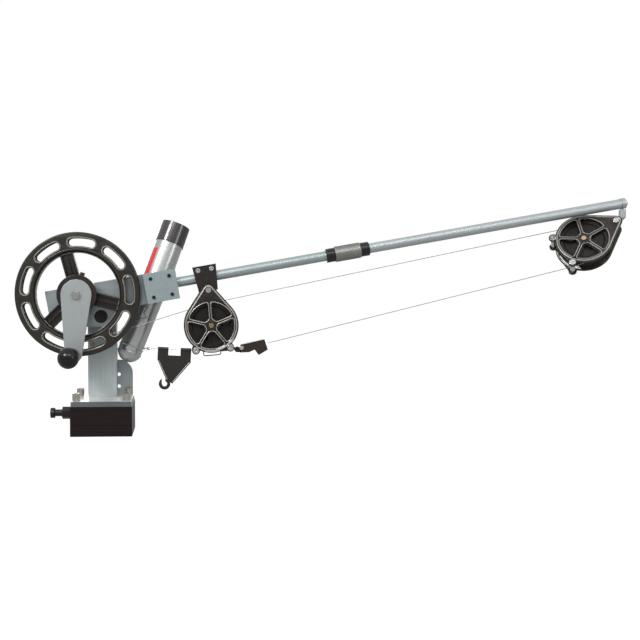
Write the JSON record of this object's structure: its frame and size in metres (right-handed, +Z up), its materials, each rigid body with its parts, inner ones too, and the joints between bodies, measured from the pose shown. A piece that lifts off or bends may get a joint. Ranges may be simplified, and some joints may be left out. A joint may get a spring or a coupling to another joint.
{
  "type": "downrigger",
  "caption": "Manual fishing downrigger: slotted spool with crank on a tilting frame, two-piece boom, two pulley blocks, line release and rod holder on a swivel base.",
  "frame": {"origin": "Centre of the fixed foot's underside, where it bolts to the deck.", "axes": "+X out along the boom, +Y away from the crank side, +Z up."},
  "size_m": [1.0671, 0.2264, 0.4116],
  "materials": {
    "black_block": "black anodised, fine machining lines",
    "steel": "bright stainless steel",
    "bright_plate": "polished top, brushed edges",
    "screw_metal": "bright, slightly warm",
    "black_metal": "black, semi-gloss",
    "column_metal": "anodised, brushed upright",
    "cap_plastic": "dark grey-brown, satin",
    "frame_metal": "anodised, satin blue-grey",
    "cover_metal": "anodised, matte blue-grey",
    "dark_screws": "dark socket screws",
    "boom_metal": "anodised, satin",
    "knurl_metal": "dark, knurled",
    "bushing_brass": "brass, dulled",
    "spool_plastic": "moulded, very dark olive, semi-gloss",
    "cable_steel": "stranded stainless cable",
    "drag_metal": "bronze-silver, satin",
    "crank_metal": "anodised, satin grey",
    "knob_plastic": "black, polished",
    "rod_metal": "polished tube",
    "sleeve_rubber": "black, glossy",
    "hanger_plastic": "black, satin",
    "block_plastic": "dark brown-black, moulded",
    "sheave_plastic": "black, satin",
    "release_plastic": "black, moulded"
  },
  "bodies": {
    "foot": {"base_foot": "black_block", "swivel_post": "steel"},
    "turret": {"swivel_block": "black_block", "base_plate": "bright_plate", "base_screws": "screw_metal", "plunger_body": "black_metal", "plunger_spring": "steel", "column": "column_metal", "column_screws": "screw_metal", "rear_bracket": "column_metal"},
    "lock_pin": {"plunger_pin": "black_metal"},
    "arm": {"tilt_bolt": "steel", "tilt_cap": "cap_plastic", "frame": "frame_metal", "boom_socket": "frame_metal", "cover_plate": "cover_metal", "cover_screws": "dark_screws", "inner_boom": "boom_metal", "outer_boom": "boom_metal", "boom_spigot": "steel", "boom_collars": "knurl_metal", "boom_end": "boom_metal", "spindle": "steel", "rod_tube": "rod_metal", "rod_sleeve": "sleeve_rubber", "gimbal_pin": "steel", "rod_saddle": "frame_metal", "hanger_plates": "hanger_plastic", "hanger_screws": "steel", "near_pivot": "steel", "cable_run": "cable_steel", "tether_wire": "steel"},
    "coupler": {"coupler_sleeve": "knurl_metal"},
    "reel": {"spool": "spool_plastic", "spool_bushing": "bushing_brass", "cable_core": "cable_steel", "cable_winding": "cable_steel"},
    "crank": {"drag_disc": "drag_metal", "crank_arm": "crank_metal", "crank_bolt": "steel", "knob_bolt": "steel"},
    "crank_knob": {"knob": "knob_plastic"},
    "near_block": {"near_front_plate": "block_plastic", "near_rear_plate": "block_plastic", "near_axle": "bushing_brass", "near_posts": "steel", "line_guard": "steel", "release_link": "release_plastic"},
    "near_wheel": {"near_sheave": "sheave_plastic"},
    "far_eye": {"far_swivel": "boom_metal", "far_pivot_pin": "steel"},
    "far_block": {"far_front_plate": "block_plastic", "far_rear_plate": "block_plastic", "far_axle": "bushing_brass", "far_posts": "steel"},
    "far_wheel": {"far_sheave": "sheave_plastic"},
    "release": {"release_arm": "release_plastic", "release_screw": "steel"},
    "release_clip": {"release_jaw": "release_plastic"},
    "hook": {"hook_plate": "release_plastic"}
  },
  "joints": [
    {"name": "swivel", "type": "hinge", "parent": "foot", "child": "turret", "pos_m": [0, 0, 0.02], "axis": [0, 0, 1], "continuous": true},
    {"name": "lock_pull", "type": "slide", "parent": "turret", "child": "lock_pin", "axis": [-1, 0, 0], "range_m": [0, 0.008], "stiffness_N_per_m": 400, "springref_m": -0.01, "deforming": ["plunger_spring"]},
    {"name": "tilt", "type": "hinge", "parent": "turret", "child": "arm", "pos_m": [-0.0022, 0, 0.2045], "axis": [0, -1, 0], "range_deg": [0, 70]},
    {"name": "coupler_turn", "type": "hinge", "parent": "arm", "child": "coupler", "pos_m": [0.42631, -0.021, 0.31621], "axis": [0.9848, 0, 0.1736], "range_deg": [0, 720]},
    {"name": "spool_spin", "type": "hinge", "parent": "arm", "child": "reel", "pos_m": [-0.03981, -0.021, 0.24387], "axis": [0, 1, 0], "continuous": true, "deforming": ["cable_run"]},
    {"name": "crank_turn", "type": "hinge", "parent": "arm", "child": "crank", "pos_m": [-0.03981, -0.0465, 0.24387], "axis": [0, 1, 0], "continuous": true},
    {"name": "knob_spin", "type": "hinge", "parent": "crank", "child": "crank_knob", "pos_m": [-0.04509, -0.09, 0.14301], "axis": [0, 1, 0], "continuous": true},
    {"name": "near_swing", "type": "hinge", "parent": "arm", "child": "near_block", "pos_m": [0.18413, -0.021, 0.25116], "axis": [0, -1, 0], "range_deg": [-12, 3], "deforming": ["cable_run", "tether_wire"]},
    {"name": "near_wheel_spin", "type": "hinge", "parent": "near_block", "child": "near_wheel", "pos_m": [0.18913, -0.021, 0.19037], "axis": [0, 1, 0], "continuous": true},
    {"name": "far_turn", "type": "hinge", "parent": "arm", "child": "far_eye", "pos_m": [0.91168, -0.021, 0.39225], "axis": [0, 0, 1], "range_deg": [-40, 5], "deforming": ["cable_run"]},
    {"name": "far_swing", "type": "hinge", "parent": "far_eye", "child": "far_block", "pos_m": [0.90068, -0.021, 0.36345], "axis": [-0.3944, -0.7962, 0.4589], "range_deg": [0, 50], "deforming": ["cable_run"]},
    {"name": "far_wheel_spin", "type": "hinge", "parent": "far_block", "child": "far_wheel", "pos_m": [0.8485, -0.01274, 0.33295], "axis": [0.3944, 0.7962, -0.4589], "continuous": true},
    {"name": "release_swing", "type": "hinge", "parent": "near_block", "child": "release", "pos_m": [0.23493, -0.021, 0.14724], "axis": [0, -1, 0], "range_deg": [-25, 20], "deforming": ["cable_run"]},
    {"name": "release_open", "type": "hinge", "parent": "release", "child": "release_clip", "pos_m": [0.24193, -0.021, 0.15074], "axis": [0, 1, 0], "range_deg": [0, 20]},
    {"name": "hook_swing", "type": "hinge", "parent": "near_block", "child": "hook", "pos_m": [0.088, -0.021, 0.15], "axis": [0.9987, 0, -0.0517], "range_deg": [-50, 50]}
  ],
  "couplings": [
    {"joint": "crank_turn", "follows": "spool_spin", "ratio": 1},
    {"joint": "near_wheel_spin", "follows": "spool_spin", "ratio": -2.248},
    {"joint": "far_wheel_spin", "follows": "spool_spin", "ratio": -2.248}
  ]
}
